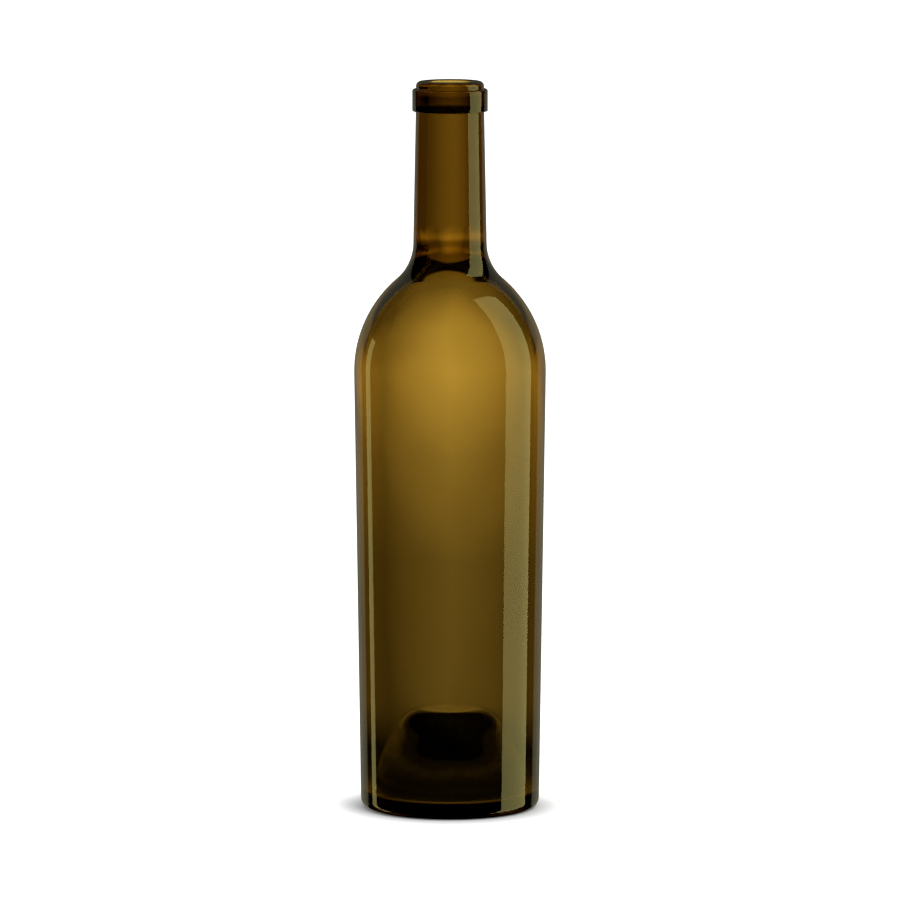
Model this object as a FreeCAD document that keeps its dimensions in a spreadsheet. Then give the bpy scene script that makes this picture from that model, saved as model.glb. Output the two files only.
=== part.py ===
import FreeCAD, Part
import Sketcher
import math
import os

# A 75 cl Bordeaux wine bottle for a straight cork: one piece of blown glass, empty and open.
# The outside, the cavity and the hollow under the base are three profiles turned about Z, in
# millimetres. The origin is the centre of the ring that the bottle stands on, and +Z runs up
# through the mouth. Profile points are (distance from the axis, height).

SIZES = [
    ("height", 308.0, "base ring to the top of the lip"),
    ("shoulder_diameter", 80.7, "outside, where the side ends and the shoulder begins"),
    ("shoulder_drop", 123.0, "from the top of the lip down to that widest circle"),
    ("body_taper", 0.83, "degrees that each side leans in towards the base"),
    ("heel_radius", 4.0, "outside rounding between the side and the base"),
    ("shoulder_radius", 51.4, "outside arc of the shoulder"),
    ("neck_blend_radius", 20.0, "outside hollow arc from the shoulder into the neck"),
    ("neck_diameter", 28.6, "outside, just under the collar"),
    ("neck_taper", 1.12, "degrees that each side of the neck leans in towards the top"),
    ("collar_projection", 1.5, "how far the collar stands out from the neck"),
    ("collar_height", 9.5, "height of the collar's flat band"),
    ("collar_foot_radius", 0.4, "rounding of the collar's lower edge"),
    ("collar_top_radius", 1.0, "rounding of the collar's upper edge"),
    ("lip_step", 1.55, "how far the lip stands back from the collar"),
    ("lip_height", 3.2, "height of the lip above the collar"),
    ("lip_edge_radius", 2.1, "rounding of the lip's outer edge"),
    ("mouth_edge_radius", 1.0, "rounding of the mouth's inner edge"),
    ("bore_diameter", 18.5, "cork bore at the mouth"),
    ("bore_flare", 0.7, "extra radius of the bore at the foot of the cork"),
    ("cork_depth", 45.0, "length of the cork bore"),
    ("wall", 3.6, "glass at the side and the shoulder"),
    ("bore_blend_radius", 8.0, "inside arc from the bore out into the shoulder"),
    ("well_height", 6.8, "glass under the ring-shaped well round the push-up"),
    ("well_radius", 1.3, "rounding of the well's floor"),
    ("flank_radius", 42.0, "inside arc from the well to the push-up's cone"),
    ("pushup_angle", 26.0, "degrees that the push-up's inside cone leans from upright"),
    ("crown_radius", 14.0, "inside rounding at the top of the push-up"),
    ("pushup_height", 42.4, "base ring to the push-up's inside top"),
    ("base_glass", 6.4, "glass at the top of the push-up"),
    ("ring_width", 3.3, "base ring, from the heel to the punt's unrounded edge"),
    ("punt_angle", 19.0, "degrees that the punt's cone leans from upright"),
    ("punt_edge_radius", 1.5, "rounding between the base ring and the punt"),
    ("rounding_limit", 0.9, "largest share of its wall or step that a rounding takes"),
]

AXIS_POINT = (-1, 1)
START, END, CENTRE = 1, 2, 3
SAME_PLACE = 1e-4


class Outline:
    """A closed profile in a sketch: lines and arcs laid end to end, each tied to the last."""

    def __init__(self, sketch, x, z):
        self.sketch = sketch
        self.pen = FreeCAD.Vector(x, z, 0)
        self.pieces = []

    def line(self, x, z, smooth=False):
        target = FreeCAD.Vector(x, z, 0)
        piece = self.sketch.addGeometry(Part.LineSegment(self.pen, target), False)
        return self._tie(piece, START, END, target, smooth)

    def arc(self, x, z, centre, turn, smooth=True):
        """An arc to (x, z): turn is 1 where it bends to the left and -1 to the right."""
        target = FreeCAD.Vector(x, z, 0)
        middle = FreeCAD.Vector(centre[0], centre[1], 0)
        angles = [math.atan2(p.y - middle.y, p.x - middle.x) for p in (self.pen, target)]
        circle = Part.Circle(middle, FreeCAD.Vector(0, 0, 1), (self.pen - middle).Length)
        piece = self.sketch.addGeometry(Part.ArcOfCircle(circle, *angles[::turn]), False)
        first, last = (START, END)[::turn]
        return self._tie(piece, first, last, target, smooth)

    def _tie(self, piece, first, last, target, smooth):
        if self.pieces:
            before = self.pieces[-1]
            kind = "Tangent" if smooth else "Coincident"
            self.sketch.addConstraint(
                Sketcher.Constraint(kind, before[0], before[2], piece, first))
        self.pieces.append((piece, first, last))
        self.pen = target
        return piece

    def close(self):
        piece, _, last = self.pieces[-1]
        self.sketch.addConstraint(
            Sketcher.Constraint("Coincident", piece, last, self.pieces[0][0], START))


def new_sheet(doc):
    sheet = doc.addObject("Spreadsheet::Sheet", "Sizes")
    for row, (alias, value, meaning) in enumerate(SIZES, start=1):
        sheet.set(f"A{row}", meaning)
        sheet.set(f"B{row}", str(value))
        sheet.setAlias(f"B{row}", alias)
    return sheet


def new_sketch(body, name):
    """A sketch on the body's own XZ plane, so that its X is the radius and its Y the height."""
    plane = next(p for p in body.Origin.OriginFeatures if p.Role == "XZ_Plane")
    sketch = body.newObject("Sketcher::SketchObject", name)
    sketch.AttachmentSupport = [(plane, "")]
    sketch.MapMode = "FlatFace"
    return sketch


def tie(sketch, kind, *places):
    sketch.addConstraint(Sketcher.Constraint(kind, *places))


def measure(sketch, kind, places, start_value, expression):
    """A dimension of the sketch, bound to the sheet."""
    number = sketch.addConstraint(Sketcher.Constraint(kind, *places, start_value))
    sketch.setExpression(f"Constraints[{number}]", expression)


def check_sketch(sketch):
    sketch.Document.recompute()
    if sketch.solve() != 0 or not sketch.FullyConstrained:
        raise RuntimeError(f"{sketch.Name} isn't solved and fully constrained")


def touching_arc(centre, radius, point, angle, touching_radius):
    """Centre of the arc that touches the circle (centre, radius) from outside and the line
    through point at angle, with the line on the arc's left."""
    along = (math.cos(angle), math.sin(angle))
    offset = (point[0] + touching_radius * along[1], point[1] - touching_radius * along[0])
    to_line = (offset[0] - centre[0], offset[1] - centre[1])
    middle = to_line[0] * along[0] + to_line[1] * along[1]
    across = to_line[0] ** 2 + to_line[1] ** 2 - middle ** 2
    step = math.sqrt((radius + touching_radius) ** 2 - across) - middle
    return (offset[0] + step * along[0], offset[1] + step * along[1])


def between(first, second, share):
    return tuple(a + (b - a) * share for a, b in zip(first, second))


def polar(centre, radius, angle):
    return (centre[0] + radius * math.cos(angle), centre[1] + radius * math.sin(angle))


def outside_profile(body, size):
    """The bottle without its hollows. Returns its sketch, the pieces that the hollows line up
    with, and the corners that are rounded later."""
    lean = math.radians(size["body_taper"])
    neck_lean = math.radians(size["neck_taper"])
    shoulder = (size["shoulder_diameter"] / 2, size["height"] - size["shoulder_drop"])
    heel = size["heel_radius"]
    foot_radius = shoulder[0] - (shoulder[1] - heel) * math.tan(lean) - heel / math.cos(lean)
    shoulder_centre = polar(shoulder, size["shoulder_radius"], math.pi - lean)
    neck_top = (size["neck_diameter"] / 2,
                size["height"] - size["lip_height"] - size["collar_height"])
    blend_centre = touching_arc(shoulder_centre, size["shoulder_radius"], neck_top,
                                math.pi / 2 + neck_lean, size["neck_blend_radius"])
    share = size["shoulder_radius"] / (size["shoulder_radius"] + size["neck_blend_radius"])
    collar_x = neck_top[0] + size["collar_projection"]
    lip_x = collar_x - size["lip_step"]
    lip_z = neck_top[1] + size["collar_height"]

    sketch = new_sketch(body, "OutsideProfile")
    outline = Outline(sketch, 0, 0)
    base = outline.line(foot_radius, 0)
    heel_arc = outline.arc(*polar((foot_radius, heel), heel, -lean), (foot_radius, heel), 1)
    side = outline.line(*shoulder, smooth=True)
    shoulder_arc = outline.arc(*between(shoulder_centre, blend_centre, share),
                               shoulder_centre, 1)
    blend = outline.arc(*polar(blend_centre, size["neck_blend_radius"], math.pi + neck_lean),
                        blend_centre, -1)
    neck = outline.line(*neck_top, smooth=True)
    collar_foot = outline.line(collar_x, neck_top[1])
    collar = outline.line(collar_x, lip_z)
    step = outline.line(lip_x, lip_z)
    lip = outline.line(lip_x, size["height"])
    top = outline.line(0, size["height"])
    axis = outline.line(0, 0)
    outline.close()

    tie(sketch, "Coincident", base, START, *AXIS_POINT)
    for level in (base, collar_foot, step, top):
        tie(sketch, "Horizontal", level)
    for upright in (collar, lip, axis):
        tie(sketch, "Vertical", upright)
    measure(sketch, "Radius", (heel_arc,), heel, "Sizes.heel_radius")
    measure(sketch, "Radius", (shoulder_arc,), size["shoulder_radius"], "Sizes.shoulder_radius")
    measure(sketch, "Radius", (blend,), size["neck_blend_radius"], "Sizes.neck_blend_radius")
    measure(sketch, "Angle", (side,), math.pi / 2 - lean, "90 deg - Sizes.body_taper * 1 deg")
    measure(sketch, "Angle", (neck,), math.pi / 2 + neck_lean,
            "90 deg + Sizes.neck_taper * 1 deg")
    measure(sketch, "DistanceX", (*AXIS_POINT, side, END), shoulder[0],
            "Sizes.shoulder_diameter / 2")
    measure(sketch, "DistanceY", (*AXIS_POINT, side, END), shoulder[1],
            "Sizes.height - Sizes.shoulder_drop")
    measure(sketch, "DistanceX", (*AXIS_POINT, neck, END), neck_top[0], "Sizes.neck_diameter / 2")
    measure(sketch, "DistanceX", (collar_foot, START, collar_foot, END),
            size["collar_projection"], "Sizes.collar_projection")
    measure(sketch, "DistanceX", (step, END, step, START), size["lip_step"], "Sizes.lip_step")
    measure(sketch, "DistanceY", (collar, START, collar, END), size["collar_height"],
            "Sizes.collar_height")
    measure(sketch, "DistanceY", (lip, START, lip, END), size["lip_height"], "Sizes.lip_height")
    measure(sketch, "DistanceY", (*AXIS_POINT, top, START), size["height"], "Sizes.height")
    check_sketch(sketch)
    pieces = {"heel": heel_arc, "side": side, "shoulder": shoulder_arc, "neck": neck, "top": top}
    corners = {"collar foot": (collar_foot, END), "collar top": (collar, END), "lip": (lip, END)}
    return sketch, pieces, corners


def borrow(sketch, outside, pieces):
    """Brings pieces of the outside profile into a sketch, to line up with. Returns their
    numbers there, which count down from -3."""
    for piece in pieces:
        sketch.addExternal(outside.Name, f"Edge{piece + 1}")
    return [-3 - place for place in range(len(pieces))]


def cavity_profile(body, size, outside, pieces):
    """The space inside: cork bore, neck, shoulder, side, ring-shaped well and push-up."""
    lean = math.radians(size["body_taper"])
    neck_lean = math.radians(size["neck_taper"])
    shoulder = (size["shoulder_diameter"] / 2, size["height"] - size["shoulder_drop"])
    shoulder_centre = polar(shoulder, size["shoulder_radius"], math.pi - lean)
    shoulder_radius = size["shoulder_radius"] - size["wall"]
    blend_radius = size["bore_blend_radius"]
    bore_radius = size["bore_diameter"] / 2
    cork_foot = (bore_radius + size["bore_flare"], size["height"] - size["cork_depth"])
    blend_centre = touching_arc(shoulder_centre, shoulder_radius, cork_foot,
                                math.pi / 2 + neck_lean, blend_radius)
    share = shoulder_radius / (shoulder_radius + blend_radius)
    side_top = polar(shoulder_centre, shoulder_radius, -lean)
    well = size["well_radius"]
    well_z = size["well_height"] + well
    well_x = side_top[0] - (side_top[1] - well_z) * math.tan(lean) - well / math.cos(lean)
    flank_centre = (well_x - well - size["flank_radius"], well_z)
    cone_lean = math.radians(size["pushup_angle"])
    cone_foot = polar(flank_centre, size["flank_radius"], cone_lean)
    crown = size["crown_radius"]
    crown_z = size["pushup_height"] - crown
    cone_top_z = crown_z + crown * math.sin(cone_lean)
    cone_top_x = cone_foot[0] - (cone_top_z - cone_foot[1]) * math.tan(cone_lean)
    crown_x = cone_top_x - crown * math.cos(cone_lean)

    sketch = new_sketch(body, "CavityProfile")
    top, side_out, shoulder_out, neck_out = borrow(
        sketch, outside, [pieces[name] for name in ("top", "side", "shoulder", "neck")])
    outline = Outline(sketch, 0, size["height"])
    mouth = outline.line(bore_radius, size["height"])
    bore = outline.line(*cork_foot)
    neck = outline.line(*polar(blend_centre, blend_radius, math.pi + neck_lean))
    blend = outline.arc(*between(shoulder_centre, blend_centre, share), blend_centre, 1)
    shoulder_arc = outline.arc(*side_top, shoulder_centre, -1)
    side = outline.line(*polar((well_x, well_z), well, -lean), smooth=True)
    well_arc = outline.arc(well_x - well, well_z, (well_x, well_z), -1)
    flank = outline.arc(*cone_foot, flank_centre, 1)
    cone = outline.line(cone_top_x, cone_top_z, smooth=True)
    crown_arc = outline.arc(crown_x, size["pushup_height"], (crown_x, crown_z), 1)
    floor = outline.line(0, size["pushup_height"], smooth=True)
    axis = outline.line(0, size["height"])
    outline.close()

    tie(sketch, "Coincident", mouth, START, top, END)
    tie(sketch, "Horizontal", mouth)
    tie(sketch, "Horizontal", floor)
    tie(sketch, "Vertical", axis)
    tie(sketch, "Parallel", neck, neck_out)
    tie(sketch, "Parallel", side, side_out)
    tie(sketch, "Coincident", shoulder_arc, CENTRE, shoulder_out, CENTRE)
    tie(sketch, "Horizontal", well_arc, CENTRE, flank, CENTRE)
    measure(sketch, "DistanceX", (*AXIS_POINT, mouth, END), bore_radius,
            "Sizes.bore_diameter / 2")
    measure(sketch, "DistanceX", (bore, START, bore, END), size["bore_flare"],
            "Sizes.bore_flare")
    measure(sketch, "DistanceY", (bore, END, bore, START), size["cork_depth"],
            "Sizes.cork_depth")
    measure(sketch, "Radius", (blend,), blend_radius, "Sizes.bore_blend_radius")
    measure(sketch, "Radius", (shoulder_arc,), shoulder_radius,
            "Sizes.shoulder_radius - Sizes.wall")
    measure(sketch, "Radius", (well_arc,), well, "Sizes.well_radius")
    measure(sketch, "DistanceY", (*AXIS_POINT, well_arc, CENTRE), well_z,
            "Sizes.well_height + Sizes.well_radius")
    measure(sketch, "Radius", (flank,), size["flank_radius"], "Sizes.flank_radius")
    measure(sketch, "Angle", (cone,), math.pi / 2 + cone_lean,
            "90 deg + Sizes.pushup_angle * 1 deg")
    measure(sketch, "Radius", (crown_arc,), crown, "Sizes.crown_radius")
    measure(sketch, "DistanceY", (*AXIS_POINT, floor, END), size["pushup_height"],
            "Sizes.pushup_height")
    check_sketch(sketch)
    return sketch, {"mouth": (mouth, END)}


def punt_profile(body, size, outside, pieces):
    """The hollow under the base, inside the ring that the bottle stands on."""
    heel_foot = outside.getPoint(pieces["heel"], START)
    mouth_x = heel_foot.x - size["ring_width"]
    top_z = size["pushup_height"] - size["base_glass"]
    lean = math.radians(size["punt_angle"])
    crown = size["crown_radius"] - size["base_glass"]
    cone_top_z = top_z - crown + crown * math.sin(lean)
    cone_top_x = mouth_x - cone_top_z * math.tan(lean)
    crown_x = cone_top_x - crown * math.cos(lean)

    sketch = new_sketch(body, "PuntProfile")
    heel_out, = borrow(sketch, outside, [pieces["heel"]])
    outline = Outline(sketch, 0, 0)
    base = outline.line(mouth_x, 0)
    cone = outline.line(cone_top_x, cone_top_z)
    crown_arc = outline.arc(crown_x, top_z, (crown_x, top_z - crown), 1)
    roof = outline.line(0, top_z, smooth=True)
    axis = outline.line(0, 0)
    outline.close()

    tie(sketch, "Coincident", base, START, *AXIS_POINT)
    tie(sketch, "Horizontal", base)
    tie(sketch, "Horizontal", roof)
    tie(sketch, "Vertical", axis)
    measure(sketch, "DistanceX", (base, END, heel_out, START), size["ring_width"],
            "Sizes.ring_width")
    measure(sketch, "Angle", (cone,), math.pi / 2 + lean, "90 deg + Sizes.punt_angle * 1 deg")
    measure(sketch, "Radius", (crown_arc,), crown, "Sizes.crown_radius - Sizes.base_glass")
    measure(sketch, "DistanceY", (*AXIS_POINT, roof, END), top_z,
            "Sizes.pushup_height - Sizes.base_glass")
    check_sketch(sketch)
    return sketch, {"punt": (base, END)}


def turned(body, kind, name, sketch):
    """Turns a profile once about Z, to add it or to cut it away."""
    before = body.Shape.Volume if body.Tip else 0
    feature = body.newObject(kind, name)
    feature.Profile = sketch
    feature.ReferenceAxis = (sketch, ["V_Axis"])
    feature.Angle = 360
    sketch.Visibility = False
    body.Document.recompute()
    change = feature.Shape.Volume - before
    if (change > 0) != (kind == "PartDesign::Revolution"):
        raise RuntimeError(f"{name} changed the volume by {change}")
    return feature


def rounded(body, name, sketch, corner, expression):
    """Rounds the circular edge that a corner of a profile has turned into."""
    point = sketch.getPoint(*corner)
    base = body.Tip
    edge_name = None
    for number, edge in enumerate(base.Shape.Edges, start=1):
        if edge.Degenerated or not isinstance(edge.Curve, Part.Circle):
            continue
        if math.hypot(edge.Curve.Radius - point.x, edge.Curve.Center.z - point.y) < SAME_PLACE:
            edge_name = f"Edge{number}"
    if edge_name is None:
        raise RuntimeError(f"no edge for {name}")
    feature = body.newObject("PartDesign::Fillet", name)
    feature.Base = (base, [edge_name])
    feature.setExpression("Radius", expression)
    body.Document.recompute()
    return feature


def bottle(doc, size):
    body = doc.addObject("PartDesign::Body", "Bottle")
    body.Label = "bottle"
    outside, pieces, corners = outside_profile(body, size)
    turned(body, "PartDesign::Revolution", "Outside", outside)
    cavity, cavity_corners = cavity_profile(body, size, outside, pieces)
    turned(body, "PartDesign::Groove", "Cavity", cavity)
    punt, punt_corners = punt_profile(body, size, outside, pieces)
    turned(body, "PartDesign::Groove", "Punt", punt)

    lip_glass = ("(Sizes.neck_diameter / 2 + Sizes.collar_projection - Sizes.lip_step"
                 " - Sizes.bore_diameter / 2)")
    lip_share = "Sizes.lip_edge_radius / (Sizes.lip_edge_radius + Sizes.mouth_edge_radius)"
    mouth_share = "Sizes.mouth_edge_radius / (Sizes.lip_edge_radius + Sizes.mouth_edge_radius)"
    rounded(body, "CollarFoot", outside, corners["collar foot"],
            "min(Sizes.collar_foot_radius; Sizes.rounding_limit * Sizes.collar_projection)")
    rounded(body, "CollarTop", outside, corners["collar top"],
            "min(Sizes.collar_top_radius; Sizes.rounding_limit * Sizes.lip_step)")
    rounded(body, "LipEdge", outside, corners["lip"],
            f"min(Sizes.lip_edge_radius; Sizes.rounding_limit * {lip_glass} * {lip_share};"
            " Sizes.rounding_limit * Sizes.lip_height)")
    rounded(body, "MouthEdge", cavity, cavity_corners["mouth"],
            f"min(Sizes.mouth_edge_radius; Sizes.rounding_limit * {lip_glass} * {mouth_share})")
    rounded(body, "PuntEdge", punt, punt_corners["punt"],
            "min(Sizes.punt_edge_radius; Sizes.rounding_limit * Sizes.ring_width)")
    return body


def check(doc, bodies):
    for item in doc.Objects:
        if "Invalid" in item.State or "Error" in item.State:
            raise RuntimeError(f"{item.Name} failed: {item.State}")
    for body in bodies:
        shape = body.Shape
        if shape.isNull() or not shape.isValid() or len(shape.Solids) != 1:
            raise RuntimeError(f"{body.Label} isn't one valid solid")


def main():
    doc = FreeCAD.newDocument("WineBottle")
    new_sheet(doc)
    doc.recompute()
    size = {alias: value for alias, value, _ in SIZES}
    bodies = [bottle(doc, size)]
    doc.recompute()
    check(doc, bodies)
    os.makedirs("parts", exist_ok=True)
    for body in bodies:
        body.Shape.exportStep(f"parts/{body.Label}.step")
        box = body.Shape.optimalBoundingBox()
        print(f"{body.Label}: {body.Shape.Volume / 1000:.1f} ml of glass,"
              f" {box.XLength:.1f} x {box.YLength:.1f} x {box.ZLength:.1f} mm")


main()
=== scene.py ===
import math

import bpy
import numpy as np
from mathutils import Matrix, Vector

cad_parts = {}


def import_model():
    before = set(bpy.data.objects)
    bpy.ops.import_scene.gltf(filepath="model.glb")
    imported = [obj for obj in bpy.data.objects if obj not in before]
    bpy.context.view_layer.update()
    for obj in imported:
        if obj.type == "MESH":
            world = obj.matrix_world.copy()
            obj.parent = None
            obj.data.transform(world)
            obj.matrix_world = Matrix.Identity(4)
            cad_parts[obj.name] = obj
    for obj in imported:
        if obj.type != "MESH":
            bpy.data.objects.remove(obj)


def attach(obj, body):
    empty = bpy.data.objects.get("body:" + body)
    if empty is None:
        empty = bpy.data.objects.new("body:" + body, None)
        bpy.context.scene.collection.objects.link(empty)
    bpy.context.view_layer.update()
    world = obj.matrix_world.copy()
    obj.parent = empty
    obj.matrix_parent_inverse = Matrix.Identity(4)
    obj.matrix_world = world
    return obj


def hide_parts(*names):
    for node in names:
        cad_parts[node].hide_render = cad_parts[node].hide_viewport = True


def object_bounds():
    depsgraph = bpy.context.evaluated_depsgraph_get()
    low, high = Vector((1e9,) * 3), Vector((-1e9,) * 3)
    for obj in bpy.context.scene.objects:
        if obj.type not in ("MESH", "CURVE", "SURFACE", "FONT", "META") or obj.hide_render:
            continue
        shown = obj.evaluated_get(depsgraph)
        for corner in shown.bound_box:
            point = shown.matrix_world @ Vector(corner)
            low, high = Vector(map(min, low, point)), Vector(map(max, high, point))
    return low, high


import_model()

# An empty, open 75 cl Bordeaux bottle in dead-leaf glass. One closed surface of glass stands for
# the CAD solid: the outside, the lip, the cork bore, the cavity, the push-up and the punt. The
# glass is thicker in a short waist where the neck meets the shoulder.
# Profile points are (distance from the axis, height) in metres.

CAD_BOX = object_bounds()
BASE_Z = CAD_BOX[0].z
TOP_Z = CAD_BOX[1].z
MM = 0.001

# ---- sizes of the bottle, as the CAD solid has them --------------------------------------------

SHOULDER_R = (CAD_BOX[1].x - CAD_BOX[0].x) / 2
SHOULDER_Z = TOP_Z - BASE_Z - 123.0 * MM
BODY_LEAN = math.radians(0.83)
HEEL_R = 4.0 * MM
SHOULDER_ARC = 51.4 * MM
NECK_ARC = 20.0 * MM
NECK_R = 14.3 * MM
NECK_LEAN = math.radians(1.12)
COLLAR_OUT = 1.5 * MM
COLLAR_HIGH = 9.5 * MM
COLLAR_FOOT_R = 0.4 * MM
COLLAR_TOP_R = 1.0 * MM
LIP_STEP = 1.55 * MM
LIP_HIGH = 3.2 * MM
LIP_R = 2.1 * MM
MOUTH_R = 1.0 * MM
BORE_R = 9.25 * MM
BORE_FLARE = 0.7 * MM
CORK_DEEP = 45.0 * MM
WALL = 3.6 * MM
BORE_BLEND = 20.0 * MM
WAIST_DEEP = 1.45 * MM
WAIST_HALF = 5.3 * MM
WAIST_DOWN = 73.7 * MM
WELL_Z = 6.8 * MM
WELL_R = 1.3 * MM
FLANK_ARC = 42.0 * MM
PUSHUP_LEAN = math.radians(26.0)
CROWN_R = 14.0 * MM
PUSHUP_Z = 42.4 * MM
BASE_GLASS = 6.4 * MM
RING_WIDE = 3.3 * MM
PUNT_LEAN = math.radians(19.0)
PUNT_EDGE_R = 1.5 * MM

# ---- small marks of the moulds and of blowing ---------------------------------------------------

AROUND = 288
SHARP = math.radians(30)
ON_FLOOR = 0.02 * MM
SEAM_HIGH = 0.07 * MM
KNURLS = 72
KNURL_DEEP = 0.25 * MM
# Waves of the inner wall: how many go round it, and radians per metre up.
WAVES = [(1, 25), (2, 40), (3, 70), (5, 90), (7, 160)]
WAVE = 0.03 * MM
WAVE_FADE = 30.0 * MM
RIPPLE_LONG = 22.0 * MM
SMEAR_WIDE = 4.0 * MM
GROUND_FULL = 0.2 * MM
GROUND_END = 0.6 * MM
CHANCE = np.random.default_rng(11)


# ---- curves of the profile ---------------------------------------------------------------------

def polar(centre, radius, angle):
    """The point at that angle on a circle: centre + radius (cos, sin)."""
    return np.array([centre[0] + radius * np.cos(angle), centre[1] + radius * np.sin(angle)])


def arc(centre, radius, first, last, count):
    """Points round a circle from one angle to the other, both ends included."""
    return polar(centre, radius, np.linspace(first, last, count)).T


def straight(first, last, count):
    """Points evenly along a line, without its ends, which belong to the arcs beside it."""
    share = np.linspace(0, 1, count + 2)[1:-1, None]
    return np.asarray(first) * (1 - share) + np.asarray(last) * share


def touching_arc(centre, radius, point, angle, touching_radius):
    """Centre of the arc that touches a circle from outside and a line through point at angle."""
    along = np.array([math.cos(angle), math.sin(angle)])
    offset = np.asarray(point) + touching_radius * np.array([along[1], -along[0]])
    to_line = offset - centre
    middle = to_line @ along
    across = to_line @ to_line - middle ** 2
    return offset + (math.sqrt((radius + touching_radius) ** 2 - across) - middle) * along


def s_bend(centre, radius, point, lean, touching_radius):
    """The neck arc's centre and the angle from the shoulder's centre to it, where they meet."""
    other = touching_arc(centre, radius, point, math.pi / 2 + lean, touching_radius)
    return other, math.atan2(other[1] - centre[1], other[0] - centre[0])


def outside_points():
    """From the centre of the punt's roof, round the base ring and up the outside to the lip."""
    foot = SHOULDER_R - (SHOULDER_Z - HEEL_R) * math.tan(BODY_LEAN) - HEEL_R / math.cos(BODY_LEAN)
    punt_r = foot - RING_WIDE
    roof_z = PUSHUP_Z - BASE_GLASS
    crown = CROWN_R - BASE_GLASS
    cone_top = roof_z - crown + crown * math.sin(PUNT_LEAN)
    crown_x = punt_r - cone_top * math.tan(PUNT_LEAN) - crown * math.cos(PUNT_LEAN)
    edge_turn = math.pi / 2 - PUNT_LEAN
    edge_x = punt_r + PUNT_EDGE_R * math.tan(edge_turn / 2)
    shoulder = np.array([SHOULDER_R, SHOULDER_Z])
    shoulder_c = polar(shoulder, SHOULDER_ARC, math.pi - BODY_LEAN)
    neck_top = np.array([NECK_R, TOP_Z - LIP_HIGH - COLLAR_HIGH])
    neck_c, meet = s_bend(shoulder_c, SHOULDER_ARC, neck_top, NECK_LEAN, NECK_ARC)
    neck_foot = polar(neck_c, NECK_ARC, math.pi + NECK_LEAN)
    collar_x = NECK_R + COLLAR_OUT
    collar_z = neck_top[1] + COLLAR_HIGH
    lip_x = collar_x - LIP_STEP
    half = math.pi / 2
    return np.concatenate([
        [[0, roof_z]],
        straight((0, roof_z), (crown_x, roof_z), 5),
        arc((crown_x, roof_z - crown), crown, half, PUNT_LEAN, 12),
        straight((punt_r - cone_top * math.tan(PUNT_LEAN), cone_top), (punt_r, 0), 12)[:-1],
        arc((edge_x, PUNT_EDGE_R), PUNT_EDGE_R, math.pi + PUNT_LEAN, 3 * half, 7),
        straight((edge_x, 0), (foot, 0), 3),
        arc((foot, HEEL_R), HEEL_R, -half, -BODY_LEAN, 13),
        straight(polar((foot, HEEL_R), HEEL_R, -BODY_LEAN), shoulder, 20),
        arc(shoulder_c, SHOULDER_ARC, -BODY_LEAN, meet, 36),
        arc(neck_c, NECK_ARC, math.pi + meet, math.pi + NECK_LEAN, 20)[1:],
        straight(neck_foot, neck_top, 12),
        [neck_top, neck_top + [0.3 * COLLAR_OUT, 0]],
        arc((collar_x - COLLAR_FOOT_R, neck_top[1] + COLLAR_FOOT_R), COLLAR_FOOT_R, -half, 0, 5),
        straight((collar_x, neck_top[1] + COLLAR_FOOT_R), (collar_x, collar_z - COLLAR_TOP_R), 3),
        arc((collar_x - COLLAR_TOP_R, collar_z - COLLAR_TOP_R), COLLAR_TOP_R, 0, half, 7),
        [[lip_x, collar_z], [lip_x, collar_z + 0.5 * (LIP_HIGH - LIP_R)]],
        arc((lip_x - LIP_R, TOP_Z - LIP_R), LIP_R, 0, half, 9),
    ])


def inside_points():
    """From the mouth's inner edge down the bore and the cavity to the push-up's top."""
    half = math.pi / 2
    bore_lean = math.atan(BORE_FLARE / CORK_DEEP)
    shoulder_c = polar((SHOULDER_R, SHOULDER_Z), SHOULDER_ARC, math.pi - BODY_LEAN)
    radius = SHOULDER_ARC - WALL
    cork_foot = np.array([BORE_R + BORE_FLARE, TOP_Z - CORK_DEEP])
    blend_c, meet = s_bend(shoulder_c, radius, cork_foot, NECK_LEAN, BORE_BLEND)
    side_top = polar(shoulder_c, radius, -BODY_LEAN)
    well_z = WELL_Z + WELL_R
    well_x = (side_top[0] - (side_top[1] - well_z) * math.tan(BODY_LEAN)
              - WELL_R / math.cos(BODY_LEAN))
    flank_c = (well_x - WELL_R - FLANK_ARC, well_z)
    cone_foot = polar(flank_c, FLANK_ARC, PUSHUP_LEAN)
    crown_z = PUSHUP_Z - CROWN_R
    cone_top_z = crown_z + CROWN_R * math.sin(PUSHUP_LEAN)
    cone_top_x = cone_foot[0] - (cone_top_z - cone_foot[1]) * math.tan(PUSHUP_LEAN)
    crown_x = cone_top_x - CROWN_R * math.cos(PUSHUP_LEAN)
    mouth_c = (BORE_R + MOUTH_R, TOP_Z - MOUTH_R)
    return np.concatenate([
        arc(mouth_c, MOUTH_R, half, math.pi - bore_lean, 7),
        straight((BORE_R, TOP_Z - MOUTH_R), cork_foot, 10),
        [cork_foot],
        straight(cork_foot, polar(blend_c, BORE_BLEND, math.pi + NECK_LEAN), 16),
        arc(blend_c, BORE_BLEND, math.pi + NECK_LEAN, math.pi + meet, 28),
        arc(shoulder_c, radius, meet, -BODY_LEAN, 36)[1:],
        straight(side_top, polar((well_x, well_z), WELL_R, -BODY_LEAN), 20),
        arc((well_x, well_z), WELL_R, -BODY_LEAN, -math.pi, 13),
        arc(flank_c, FLANK_ARC, 0, PUSHUP_LEAN, 12)[1:],
        straight(cone_foot, (cone_top_x, cone_top_z), 5),
        arc((crown_x, crown_z), CROWN_R, PUSHUP_LEAN, half, 12),
        straight((crown_x, PUSHUP_Z), (0, PUSHUP_Z), 5),
        [[0, PUSHUP_Z]],
    ])


# ---- surfaces ----------------------------------------------------------------------------------

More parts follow.
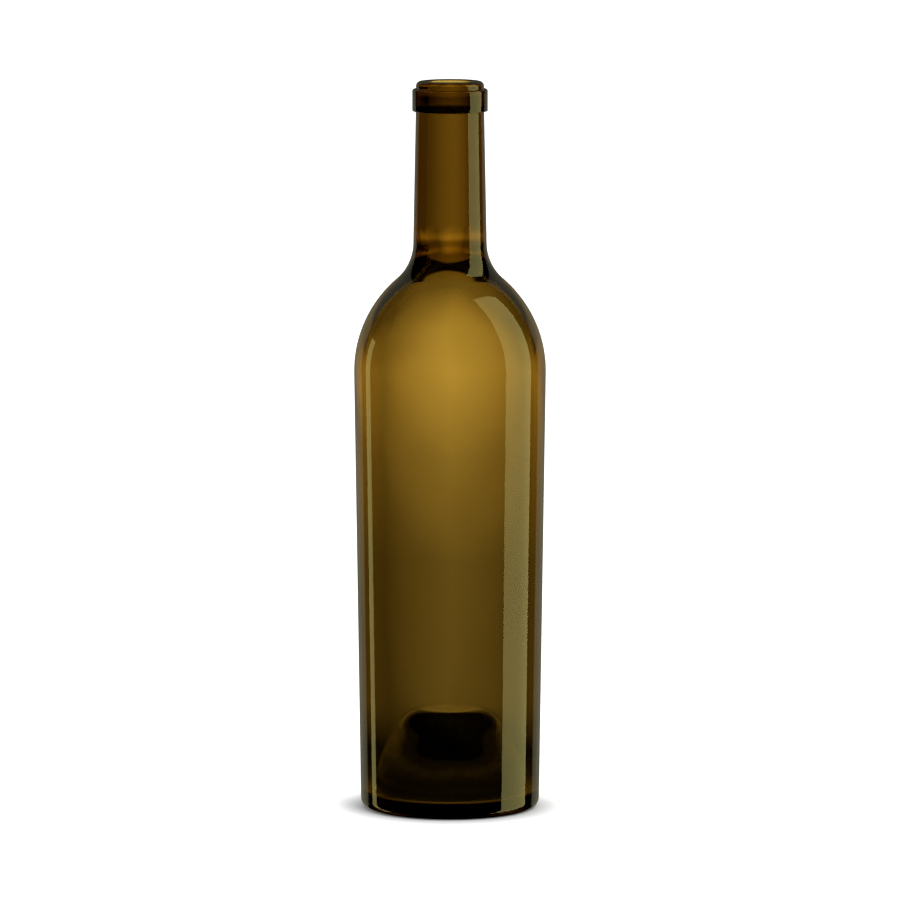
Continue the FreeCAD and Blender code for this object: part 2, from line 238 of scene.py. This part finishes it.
def closed_turn(name, points):
    """A mesh from rings of points, (ring, angle, xyz), whose first and last rings are poles."""
    rings, around = points.shape[:2]
    vertices = np.concatenate([points[0, :1], points[1:-1].reshape(-1, 3), points[-1, :1]])
    ring = 1 + np.arange(rings - 2)[:, None] * around
    here = np.arange(around)[None, :]
    after = (here + 1) % around
    low, high = ring[:-1], ring[1:]
    quads = np.stack([low + here, low + after, high + after, high + here], axis=-1)
    last = len(vertices) - 1
    first_fan = np.stack([np.zeros_like(here), ring[0] + after, ring[0] + here], axis=-1)
    last_fan = np.stack([np.full_like(here, last), ring[-1] + here, ring[-1] + after], axis=-1)
    loops = np.concatenate([first_fan.reshape(-1), quads.reshape(-1), last_fan.reshape(-1)])
    sizes = np.concatenate([np.full(around, 3), np.full(quads.size // 4, 4), np.full(around, 3)])
    mesh = bpy.data.meshes.new(name)
    mesh.vertices.add(len(vertices))
    mesh.vertices.foreach_set("co", vertices.ravel())
    mesh.loops.add(len(loops))
    mesh.loops.foreach_set("vertex_index", loops)
    mesh.polygons.add(len(sizes))
    mesh.polygons.foreach_set("loop_start", np.concatenate([[0], np.cumsum(sizes)[:-1]]))
    mesh.polygons.foreach_set("use_smooth", np.ones(len(sizes), dtype=bool))
    mesh.update(calc_edges=True)
    mesh.validate()
    mesh.set_sharp_from_angle(angle=SHARP)
    return mesh


def waisted(points):
    """The inside's profile with the waist's extra glass: r - d exp(-((z - z0) / w)^2)."""
    away = (points[:, 1] - (TOP_Z - WAIST_DOWN)) / WAIST_HALF
    extra = WAIST_DEEP * np.exp(-away ** 2)
    return points - np.stack([extra, 0 * extra], axis=-1)


def turned(profile, around):
    """r(s) and z(s) of a profile turned by angle a into (r cos a, r sin a, z)."""
    a = np.arange(around) * 2 * math.pi / around
    r, z = profile[:, 0, None], profile[:, 1, None]
    return np.stack([r * np.cos(a), r * np.sin(a), z + 0 * a], axis=-1)


def marked(points, outside):
    """The turned bottle with its marks. On the outside a seam of the two mould halves stands at
    a = 0 and half a turn, r + h, and the ring it stands on is knurled, z + d (1 + cos 72 a) / 2.
    On the inside r waves by w sin(k a + m z + phase), summed over a few k and m."""
    r = np.hypot(points[..., 0], points[..., 1])
    z = points[..., 2]
    a = np.arange(points.shape[1]) * 2 * math.pi / points.shape[1]
    outer = np.arange(len(points))[:, None] < outside
    below = outer & (z - BASE_Z < ON_FLOOR)
    past_foot = np.cumsum(below, axis=0) > 0
    side = outer & past_foot & (z - BASE_Z > HEEL_R)
    seam = SEAM_HIGH * side * np.isclose(np.abs(np.cos(a)), 1)
    knurl = KNURL_DEEP * below * (1 + np.cos(KNURLS * a)) / 2
    wave = 0 * r
    for (k, m), phase in zip(WAVES, CHANCE.uniform(0, 6.28, len(WAVES))):
        wave = wave + WAVE * np.sin(k * a + m * z + phase)
    wave = wave * ~outer * np.clip((TOP_Z - CORK_DEEP - z) / WAVE_FADE, 0, 1)
    grow = 1 + (seam + wave) / np.maximum(r, MM)
    lift = np.stack([0 * r, 0 * r, knurl], axis=-1)
    return points * np.stack([grow, grow, 0 * r + 1], axis=-1) + lift


def turned_glass(name):
    """The whole bottle as one closed surface of glass."""
    outside, inside = outside_points(), waisted(inside_points())
    profile = np.concatenate([outside, inside]) + [0, BASE_Z]
    points = marked(turned(profile, AROUND), len(outside))
    piece = bpy.data.objects.new(name, closed_turn(name, points))
    bpy.context.collection.objects.link(piece)
    return piece


# ---- materials ---------------------------------------------------------------------------------

def linear(hex_colour):
    """Linear red, green, blue and alpha of an sRGB hex colour."""
    parts = [int(hex_colour[i:i + 2], 16) / 255 for i in (1, 3, 5)]
    return (*[c / 12.92 if c <= 0.04045 else ((c + 0.055) / 1.055) ** 2.4 for c in parts], 1.0)


def new_material(name):
    material = bpy.data.materials.new(name)
    material.use_nodes = True
    material.node_tree.nodes.clear()
    return material, material.node_tree


def add(tree, kind, settings=None, stops=(), **inputs):
    """Adds a node. settings are its own properties, stops are a ramp's places and levels of
    white, and inputs are its sockets by name, with _ for a space, or by number, as i0: a value
    is set and another node's socket is linked."""
    node = tree.nodes.new(kind)
    for key, value in (settings or {}).items():
        setattr(node, key, value)
    for count, (place, level) in enumerate(stops):
        if count > 1:
            node.color_ramp.elements.new(1.0)
        node.color_ramp.elements[count].position = place
        node.color_ramp.elements[count].color = (level, level, level, 1.0)
    for key, value in inputs.items():
        numbered = key[0] == "i" and key[1:].isdigit()
        socket = node.inputs[int(key[1:])] if numbered else node.inputs[key.replace("_", " ")]
        if isinstance(value, bpy.types.NodeSocket):
            tree.links.new(value, socket)
        else:
            socket.default_value = value
    return node


def dead_leaf_glass():
    """Soda-lime glass melted with iron and carbon. It swallows blue and some green, so thin walls
    look olive yellow and thick ones brown to black. Its skin is fire-polished, with the slow
    ripple of blown glass, faint wipe marks, and a ground ring where it stands."""
    material, tree = new_material("dead_leaf_glass_moulded")
    place = add(tree, "ShaderNodeTexCoord")
    split = add(tree, "ShaderNodeSeparateXYZ", Vector=place.outputs["Object"])
    ripple = add(tree, "ShaderNodeTexNoise", Vector=place.outputs["Object"], Scale=1 / RIPPLE_LONG,
                 Detail=1.0)
    relief = add(tree, "ShaderNodeBump", Height=ripple.outputs[0], Strength=0.06,
                 Distance=0.5 * MM)
    wiped = add(tree, "ShaderNodeMapping", Vector=place.outputs["Object"], Scale=(1, 1, 0.12))
    smear = add(tree, "ShaderNodeTexNoise", Vector=wiped.outputs[0], Scale=1 / SMEAR_WIDE,
                Detail=4.0)
    haze = add(tree, "ShaderNodeMapRange", Value=smear.outputs[0], From_Min=0.55, From_Max=0.8,
               To_Min=0.0, To_Max=0.03)
    worn = add(tree, "ShaderNodeMapRange", Value=split.outputs["Z"], From_Min=BASE_Z + GROUND_FULL,
               From_Max=BASE_Z + GROUND_END, To_Min=0.35, To_Max=0.0)
    rough = add(tree, "ShaderNodeMath", {"operation": "MAXIMUM"}, i0=haze.outputs[0],
                i1=worn.outputs[0])
    surface = add(tree, "ShaderNodeBsdfPrincipled", Base_Color=(1, 1, 1, 1),
                  Roughness=rough.outputs[0], IOR=1.52, Transmission_Weight=1.0,
                  Normal=relief.outputs[0])
    inside = add(tree, "ShaderNodeVolumeAbsorption", Color=linear("#EDE2B6"), Density=850.0)
    add(tree, "ShaderNodeOutputMaterial", Surface=surface.outputs[0], Volume=inside.outputs[0])
    return material


# ---- studio ------------------------------------------------------------------------------------

FLOOR_HALF = 6.0
SHADOW_NEAR = 0.03
SHADOW_FAR = 0.06
CAMERA_FAR = 3.0
CAMERA_LIFT = math.radians(7.0)
LOOK_Z = 0.1521
LENS = 286.6


def camera():
    data = bpy.data.cameras.new("camera")
    data.lens = LENS
    data.sensor_width = 36.0
    data.clip_end = 50.0
    item = bpy.data.objects.new("camera", data)
    middle = (BASE_Z + TOP_Z) / 2
    item.location = (0, -CAMERA_FAR, middle + CAMERA_FAR * math.tan(CAMERA_LIFT))
    tilt = math.atan2(item.location.z - LOOK_Z, CAMERA_FAR)
    item.rotation_euler = (math.pi / 2 - tilt, 0, 0)
    bpy.context.collection.objects.link(item)
    bpy.context.scene.camera = item


def world():
    """White where the camera, a reflection or a view through glass meets it, and a plain level
    of light on everything else."""
    item = bpy.data.worlds.new("studio_air")
    bpy.context.scene.world = item
    item.use_nodes = True
    tree = item.node_tree
    tree.nodes.clear()
    path = add(tree, "ShaderNodeLightPath")
    glass = add(tree, "ShaderNodeMath", {"operation": "MAXIMUM"}, i0=path.outputs["Is Glossy Ray"],
                i1=path.outputs["Is Transmission Ray"])
    seen = add(tree, "ShaderNodeMath", {"operation": "MAXIMUM"}, i0=path.outputs["Is Camera Ray"],
               i1=glass.outputs[0])
    strength = add(tree, "ShaderNodeMapRange", Value=seen.outputs[0], To_Min=0.5, To_Max=1.0)
    shade = add(tree, "ShaderNodeBackground", Color=(1, 1, 1, 1), Strength=strength.outputs[0])
    add(tree, "ShaderNodeOutputWorld", Surface=shade.outputs[0])


def hide_from(item, *kinds):
    for kind in kinds:
        setattr(item, "visible_" + kind, False)


def stage_piece(name, mesh, material, *hidden):
    """A piece of the studio, not of the object, hidden from the named kinds of ray."""
    item = bpy.data.objects.new(name, mesh)
    bpy.context.collection.objects.link(item)
    item.data.materials.append(material)
    hide_from(item, *hidden)


def sheet(name, rows):
    """A mesh of quads through rows of points, (row, place, xyz)."""
    high, wide = rows.shape[:2]
    corner = (np.arange(high - 1)[:, None] * wide + np.arange(wide - 1)).ravel()
    faces = np.stack([corner, corner + 1, corner + 1 + wide, corner + wide], axis=-1)
    mesh = bpy.data.meshes.new(name)
    mesh.from_pydata(rows.reshape(-1, 3).tolist(), [], faces.tolist())
    return mesh


def floor():
    """A pale floor, white to the camera by a glow of its own, with the bottle's soft shadow: real
    shade from the lamp, and painted shadow where that glow fades out near the bottle's foot. The
    tent closes below it, so glass is shown the tent in its place."""
    side = np.array([-FLOOR_HALF, FLOOR_HALF])
    x, y = np.meshgrid(side, side)
    material, tree = new_material("pale_floor")
    place = add(tree, "ShaderNodeTexCoord")
    path = add(tree, "ShaderNodeLightPath")
    away = add(tree, "ShaderNodeVectorMath", {"operation": "LENGTH"}, i0=place.outputs["Object"])
    # Painted shadow: the camera's white glow fades out between SHADOW_FAR and SHADOW_NEAR of the
    # axis.
    clear = add(tree, "ShaderNodeMapRange", {"interpolation_type": "SMOOTHSTEP"},
                Value=away.outputs["Value"], From_Min=SHADOW_NEAR, From_Max=SHADOW_FAR)
    glow = add(tree, "ShaderNodeMath", {"operation": "MULTIPLY"}, i0=clear.outputs[0],
               i1=path.outputs["Is Camera Ray"])
    shade = add(tree, "ShaderNodeBsdfDiffuse", Color=linear("#E7E7E7"))
    light = add(tree, "ShaderNodeEmission", Color=(1, 1, 1, 1), Strength=glow.outputs[0])
    lit = add(tree, "ShaderNodeAddShader", i0=shade.outputs[0], i1=light.outputs[0])
    add(tree, "ShaderNodeOutputMaterial", Surface=lit.outputs[0])
    mesh = sheet("floor", np.stack([x, y, 0 * x + BASE_Z], axis=-1))
    stage_piece("floor", mesh, material, "glossy", "transmission")


TENT_R = 0.4
TENT_FOOT = -0.12
TENT_TOP = 0.7
DRUM_AROUND = 96
WARM_WHITE = "#FFFAD0"
SIDE_GREY = "#BCBCBC"
# The tent's cloth is one warm white. It glows softly behind the shoulder and less behind the body,
# behind the neck and on its own floor. It is dark in a low band of its wall and over the lip:
# metres up and strength.
BY_HEIGHT = [(-0.12, 0.35), (-0.08, 0.1), (-0.04, 0.02), (-0.02, 0.3), (0.05, 0.35), (0.1, 0.7),
             (0.14, 1.3), (0.17, 1.2), (0.21, 0.5), (0.27, 0.5), (0.285, 0.0)]
# Its share across the back, behind the body and behind the neck: metres to the right and share.
BY_WIDTH = [(-0.4, 0.6), (-0.25, 0.8), (-0.07, 0.4), (0.0, 1.0), (0.09, 0.4), (0.25, 0.8),
            (0.4, 0.6)]
BY_NECK = [(-0.4, 0.4), (-0.1, 0.6), (0.02, 1.0), (0.2, 0.3), (0.4, 0.3)]
# The neck's share takes over from the body's between these heights.
NECK_FROM = 0.195
NECK_FULL = 0.215
# A painted reflection: what the glass's skin is shown of it, apart from what is seen through
# the glass, by metres behind the bottle's axis: nothing at the front, and less of it from high up.
SHEEN = [(0.24, 0.0), (0.26, 0.3), (0.35, 0.3), (0.4, 0.1)]
SHEEN_FROM = 0.27
SHEEN_LESS = 0.3
# How the plug lies in the punt: just inside the glass's skin, and clear of the floor.
PLUG_OUT = 1.015
PLUG_UP = 0.3 * MM
PLUG_FOOT = 2.0 * MM


def spread(stops, low, high):
    """Ramp stops given in metres, as shares of the way from low to high."""
    return [((at - low) / (high - low), level) for at, level in stops]


def tent():
    """A drum of cloth round the bottle and under it that only the glass sees."""
    material, tree = new_material("tent_cloth")
    place = add(tree, "ShaderNodeTexCoord")
    path = add(tree, "ShaderNodeLightPath")
    split = add(tree, "ShaderNodeSeparateXYZ", Vector=place.outputs["Object"])
    x, y, z = split.outputs["X"], split.outputs["Y"], split.outputs["Z"]
    up = add(tree, "ShaderNodeMapRange", Value=z, From_Min=TENT_FOOT, From_Max=TENT_TOP)
    height = add(tree, "ShaderNodeValToRGB", stops=spread(BY_HEIGHT, TENT_FOOT, TENT_TOP),
                 Fac=up.outputs[0])
    right = add(tree, "ShaderNodeMapRange", Value=x, From_Min=-TENT_R, From_Max=TENT_R)
    width = add(tree, "ShaderNodeValToRGB", stops=spread(BY_WIDTH, -TENT_R, TENT_R),
                Fac=right.outputs[0])
    back = add(tree, "ShaderNodeMapRange", {"interpolation_type": "SMOOTHSTEP"}, Value=y,
               From_Min=0.0, From_Max=0.12)
    beside_neck = add(tree, "ShaderNodeValToRGB", stops=spread(BY_NECK, -TENT_R, TENT_R),
                      Fac=right.outputs[0])
    over = add(tree, "ShaderNodeMapRange", {"interpolation_type": "SMOOTHSTEP"}, Value=z,
               From_Min=NECK_FROM, From_Max=NECK_FULL)
    across = add(tree, "ShaderNodeMix", {"data_type": "RGBA"}, i0=over.outputs[0],
                 i6=width.outputs[0], i7=beside_neck.outputs[0])
    share = add(tree, "ShaderNodeMix", {"data_type": "RGBA"}, i0=back.outputs[0],
                i6=linear(SIDE_GREY), i7=across.outputs[2])
    through = add(tree, "ShaderNodeMix", {"data_type": "RGBA", "blend_type": "MULTIPLY"}, i0=1.0,
                  i6=height.outputs[0], i7=share.outputs[2])
    behind = add(tree, "ShaderNodeMapRange", Value=y, From_Min=0.0, From_Max=TENT_R)
    sheen = add(tree, "ShaderNodeValToRGB", stops=spread(SHEEN, 0.0, TENT_R),
                Fac=behind.outputs[0])
    lower = add(tree, "ShaderNodeMapRange", {"interpolation_type": "SMOOTHSTEP"}, Value=z,
                From_Min=SHEEN_FROM, From_Max=SHEEN_LESS, To_Min=1.0, To_Max=0.7)
    mirrored = add(tree, "ShaderNodeMix", {"data_type": "RGBA", "blend_type": "MULTIPLY"}, i0=1.0,
                   i6=sheen.outputs[0], i7=lower.outputs[0])
    # Reflections see the painted reflection, views through the glass see the cloth's glow.
    seen = add(tree, "ShaderNodeMix", {"data_type": "RGBA"}, i0=path.outputs["Is Transmission Ray"],
               i6=mirrored.outputs[2], i7=through.outputs[2])
    cloth = add(tree, "ShaderNodeMix", {"data_type": "RGBA", "blend_type": "MULTIPLY"}, i0=1.0,
                i6=seen.outputs[2], i7=linear(WARM_WHITE))
    light = add(tree, "ShaderNodeEmission", Color=cloth.outputs[2], Strength=1.0)
    add(tree, "ShaderNodeOutputMaterial", Surface=light.outputs[0])
    drum = np.array([(0, TENT_FOOT), (TENT_R, TENT_FOOT), (TENT_R, TENT_TOP), (0, TENT_TOP)])
    stage_piece("tent", closed_turn("tent", turned(drum, DRUM_AROUND)), material, "camera",
                "diffuse", "shadow", "volume_scatter")


def punt_shade_plug():
    """A black plug of painted shade that fills the punt to just inside the glass's skin. Only the
    glass sees it, and it makes the push-up act as if it were painted black, in place of shade."""
    outline = outside_points()
    hollow = outline[:np.argmax(outline[:, 1] <= PLUG_FOOT)] * [PLUG_OUT, 1] + [0, PLUG_UP]
    profile = np.concatenate([hollow, [[0, PLUG_FOOT]]])
    profile[:, 1] += BASE_Z
    # Painted shade: this black stands in for the shade in the punt.
    material, tree = new_material("painted_punt_shade")
    dark = add(tree, "ShaderNodeBsdfDiffuse", Color=linear("#000000"))
    add(tree, "ShaderNodeOutputMaterial", Surface=dark.outputs[0])
    stage_piece("punt_shade_plug", closed_turn("punt_shade_plug", turned(profile, DRUM_AROUND)), material,
                "camera", "diffuse", "shadow", "volume_scatter")


def strip(name, near, far, strength):
    """A tall flat lamp between two upright edges, each given as its distance from the bottle's
    axis, its compass angle from the camera's side and the height of its top. Only the glass's
    skin mirrors it: p(u, v) is straight from the near edge to the far one, and from foot to top."""
    edges = []
    for radius, angle, top in (near, far):
        turn = math.radians(angle)
        x, y = radius * math.sin(turn), -radius * math.cos(turn)
        edges.append([(x, y, TENT_FOOT + 0.01), (x, y, top)])
    material, tree = new_material(name + "_glow")
    light = add(tree, "ShaderNodeEmission", Color=linear("#FFF39A"), Strength=strength)
    add(tree, "ShaderNodeOutputMaterial", Surface=light.outputs[0])
    stage_piece(name, sheet(name, np.array(edges)), material, "camera", "diffuse", "shadow",
                "transmission", "volume_scatter")


def lamp(name, place, size, power):
    data = bpy.data.lights.new(name, "AREA")
    data.shape = "SQUARE"
    data.size = size
    data.energy = power
    item = bpy.data.objects.new(name, data)
    item.location = place
    aim = -item.location
    item.rotation_euler = aim.to_track_quat("-Z", "Y").to_euler()
    hide_from(item, "glossy", "transmission")
    bpy.context.collection.objects.link(item)


# ---- the scene ---------------------------------------------------------------------------------

bottle = turned_glass("bottle_glass")
bottle.data.materials.append(dead_leaf_glass())
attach(bottle, "root")
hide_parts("bottle")

world()
floor()
tent()
punt_shade_plug()
strip("strip_right", near=(0.12, 60, 0.42), far=(0.39, 110, 0.6), strength=2.1)
strip("strip_left", near=(0.12, -96, 0.222), far=(0.12, -105, 0.222), strength=1.5)
lamp("soft_key", place=(1.2, -1.4, 2.2), size=1.5, power=30.0)
camera()
bpy.context.scene.view_settings.view_transform = "Standard"
